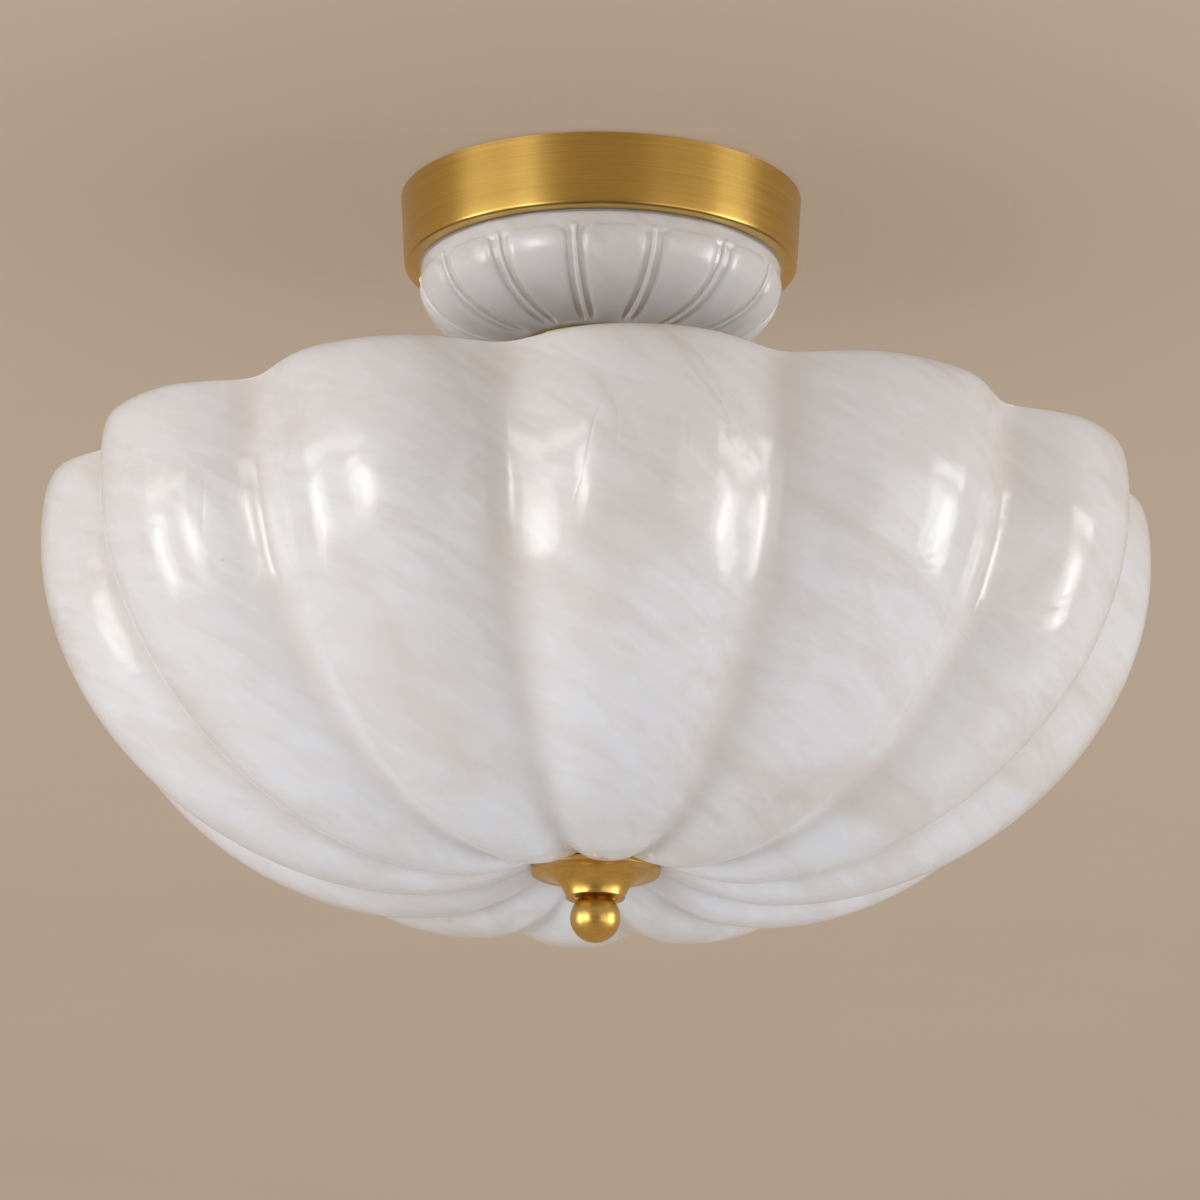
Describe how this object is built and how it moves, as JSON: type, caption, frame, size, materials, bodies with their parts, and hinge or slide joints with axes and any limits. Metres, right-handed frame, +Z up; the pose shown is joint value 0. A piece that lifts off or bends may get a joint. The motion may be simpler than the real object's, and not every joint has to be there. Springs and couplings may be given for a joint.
{
  "type": "semi-flush bowl ceiling light",
  "caption": "Semi-flush ceiling light: a brass canopy over a fluted stone cup, and a large lobed stone bowl below, held by a centre rod and a brass ball finial.",
  "frame": {"origin": "centre of the mounting bracket's slots, in the ceiling plane", "axes": "+Z up into the ceiling, along the stem; +X along the bracket through its two slots"},
  "size_m": [0.4188, 0.4188, 0.2929],
  "materials": {
    "brass": "satin, brushed round the axis",
    "alabaster": "polished",
    "zinc_steel": "zinc plated",
    "gasket_rubber": "matte",
    "porcelain": "glazed",
    "nickel": "satin",
    "opal_glass": "opal"
  },
  "bodies": {
    "frame": {"mounting_bracket": "zinc_steel", "ground_screw": "zinc_steel", "threaded_nipple": "zinc_steel", "nipple_nuts": "zinc_steel", "stem": "brass", "cluster_lid": "brass", "cluster_body": "brass", "rod_nuts": "zinc_steel", "centre_rod": "zinc_steel", "stop_nut": "zinc_steel", "clamp_washer": "zinc_steel", "inner_gasket": "gasket_rubber", "lampholder_nipple_1": "brass", "lampholder_nipple_2": "brass", "lampholder_nipple_3": "brass", "lampholder_body_1": "porcelain", "lampholder_body_2": "porcelain", "lampholder_body_3": "porcelain", "lampholder_shell_1": "nickel", "lampholder_shell_2": "nickel", "lampholder_shell_3": "nickel", "lampholder_contact_1": "nickel", "lampholder_contact_2": "nickel", "lampholder_contact_3": "nickel"},
    "canopy_assembly": {"canopy": "brass", "cup_rim_gasket": "gasket_rubber", "upper_cup": "alabaster", "cup_washer": "gasket_rubber"},
    "collar": {"collar": "brass"},
    "shade": {"bowl": "alabaster", "outer_gasket": "gasket_rubber", "bottom_cap": "brass"},
    "finial": {"finial_ball": "brass"},
    "bulb_1": {"bulb_base_1": "nickel", "bulb_glass_1": "opal_glass"},
    "bulb_2": {"bulb_base_2": "nickel", "bulb_glass_2": "opal_glass"},
    "bulb_3": {"bulb_base_3": "nickel", "bulb_glass_3": "opal_glass"}
  },
  "joints": [
    {"name": "canopy_lowering", "type": "slide", "parent": "frame", "child": "canopy_assembly", "axis": [0, 0, 1], "range_m": [-0.06, 0]},
    {"name": "collar_turn", "type": "hinge", "parent": "canopy_assembly", "child": "collar", "pos_m": [0, 0, -0.065], "axis": [0, 0, 1], "continuous": true},
    {"name": "shade_lowering", "type": "slide", "parent": "frame", "child": "shade", "axis": [0, 0, 1], "range_m": [-0.012, 0]},
    {"name": "finial_turn", "type": "hinge", "parent": "shade", "child": "finial", "pos_m": [0, 0, -0.2835], "axis": [0, 0, 1], "range_deg": [-4320, 0]},
    {"name": "bulb_1_turn", "type": "hinge", "parent": "frame", "child": "bulb_1", "pos_m": [0.0433, 0.025, -0.1575], "axis": [0.866, 0.5, 0], "continuous": true},
    {"name": "bulb_2_turn", "type": "hinge", "parent": "frame", "child": "bulb_2", "pos_m": [-0.0433, 0.025, -0.1575], "axis": [-0.866, 0.5, 0], "continuous": true},
    {"name": "bulb_3_turn", "type": "hinge", "parent": "frame", "child": "bulb_3", "pos_m": [0, -0.05, -0.1575], "axis": [0, -1, 0], "continuous": true}
  ],
  "couplings": [
    {"joint": "finial_turn", "follows": "shade_lowering", "rad_per_m": 6283.2}
  ]
}
